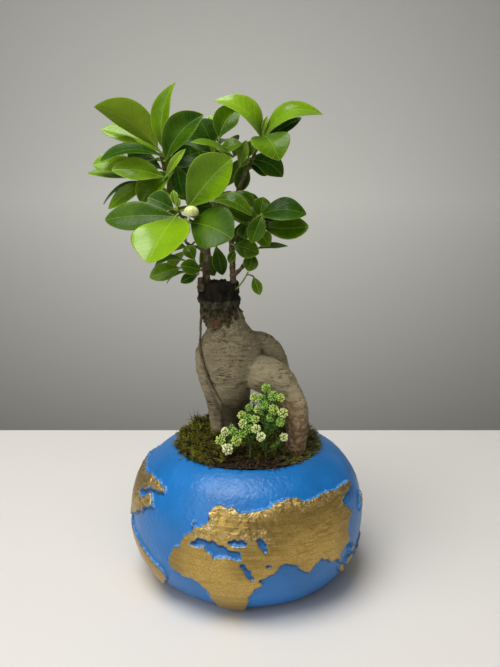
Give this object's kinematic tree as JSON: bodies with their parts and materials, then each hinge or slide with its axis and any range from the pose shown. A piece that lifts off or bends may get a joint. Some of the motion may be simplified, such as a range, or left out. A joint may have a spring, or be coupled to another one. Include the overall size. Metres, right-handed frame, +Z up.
{
  "type": "potted bonsai",
  "caption": "Ginseng ficus bonsai with a swollen rootstock and glossy leaves, planted with moss and dried flower sprigs in a globe-shaped pot with a raised world-map relief.",
  "frame": {"origin": "centre of the pot's flat underside, on the surface it stands on", "axes": "+Z up along the pot's axis; the side seen in the picture looks along -Y; +X is to the viewer's right"},
  "size_m": [0.1725, 0.1516, 0.3089],
  "materials": {
    "painted_pot": "satin",
    "earth": "matte",
    "moss_cushion": "matte",
    "bark": "matte",
    "leaf": "glossy",
    "fruit": "satin",
    "flower": "matte"
  },
  "bodies": {
    "root": {"pot": "painted_pot", "soil": "earth", "moss": "moss_cushion", "rootstock": "bark", "shoot_upper_left": "leaf", "shoot_front": "leaf", "shoot_centre_top": "leaf", "shoot_upper_right": "leaf", "shoot_middle": "leaf", "shoot_right": "leaf", "shoot_lower_right": "leaf", "shoot_lower_left": "leaf", "shoot_back": "leaf", "shoot_back_right": "leaf", "shoot_low_back": "leaf", "sprout": "leaf", "fig": "fruit", "sprig_right": "flower", "sprig_middle": "flower", "sprig_left": "flower"}
  },
  "joints": []
}
